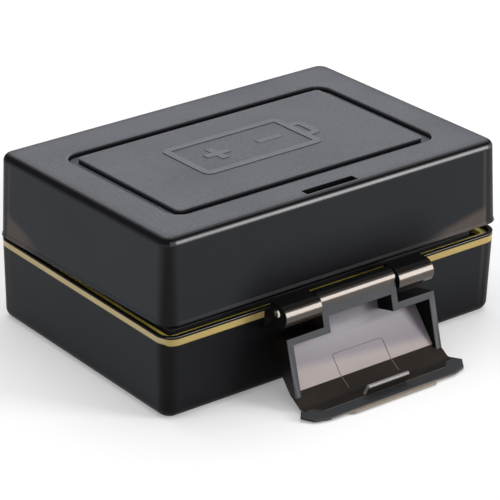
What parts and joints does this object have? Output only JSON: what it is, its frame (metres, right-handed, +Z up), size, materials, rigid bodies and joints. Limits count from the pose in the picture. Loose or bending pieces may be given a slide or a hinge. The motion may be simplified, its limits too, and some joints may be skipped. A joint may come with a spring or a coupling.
{
  "type": "battery case",
  "caption": "Hinged plastic battery case with a sealed rim, a front snap latch on a steel pin and moulded trays inside, shown with the lid ajar and the latch hanging open.",
  "frame": {"origin": "middle of the base's flat bottom face", "axes": "+X along the length of the case, -Y towards the latch, +Y towards the hinge, +Z up"},
  "size_m": [0.1006, 0.0955, 0.0448],
  "materials": {
    "base_plastic": "fine moulded grain, semi-matte",
    "lid_plastic": "fine moulded grain, semi-matte",
    "seal_rubber": "smooth, slightly glossy",
    "latch_plastic": "satin, smooth inner panel",
    "pin_steel": "drawn wire, cut ends",
    "tray_plastic": "fine moulded grain",
    "screw_steel": "plated"
  },
  "bodies": {
    "base": {"base_shell": "base_plastic", "seal_ring": "seal_rubber", "battery_tray": "tray_plastic", "tray_screws": "screw_steel", "latch_pin": "pin_steel", "hinge_pin": "pin_steel"},
    "lid": {"lid_shell": "lid_plastic", "card_tray": "tray_plastic", "card_tray_screws": "screw_steel"},
    "latch": {"latch_flap": "latch_plastic"}
  },
  "joints": [
    {"name": "lid_hinge", "type": "hinge", "parent": "base", "child": "lid", "pos_m": [0, 0.0374, 0.0215], "axis": [-1, 0, 0], "range_deg": [0, 175]},
    {"name": "latch_hinge", "type": "hinge", "parent": "base", "child": "latch", "pos_m": [0, -0.0388, 0.0218], "axis": [-1, 0, 0], "range_deg": [0, 155]}
  ]
}
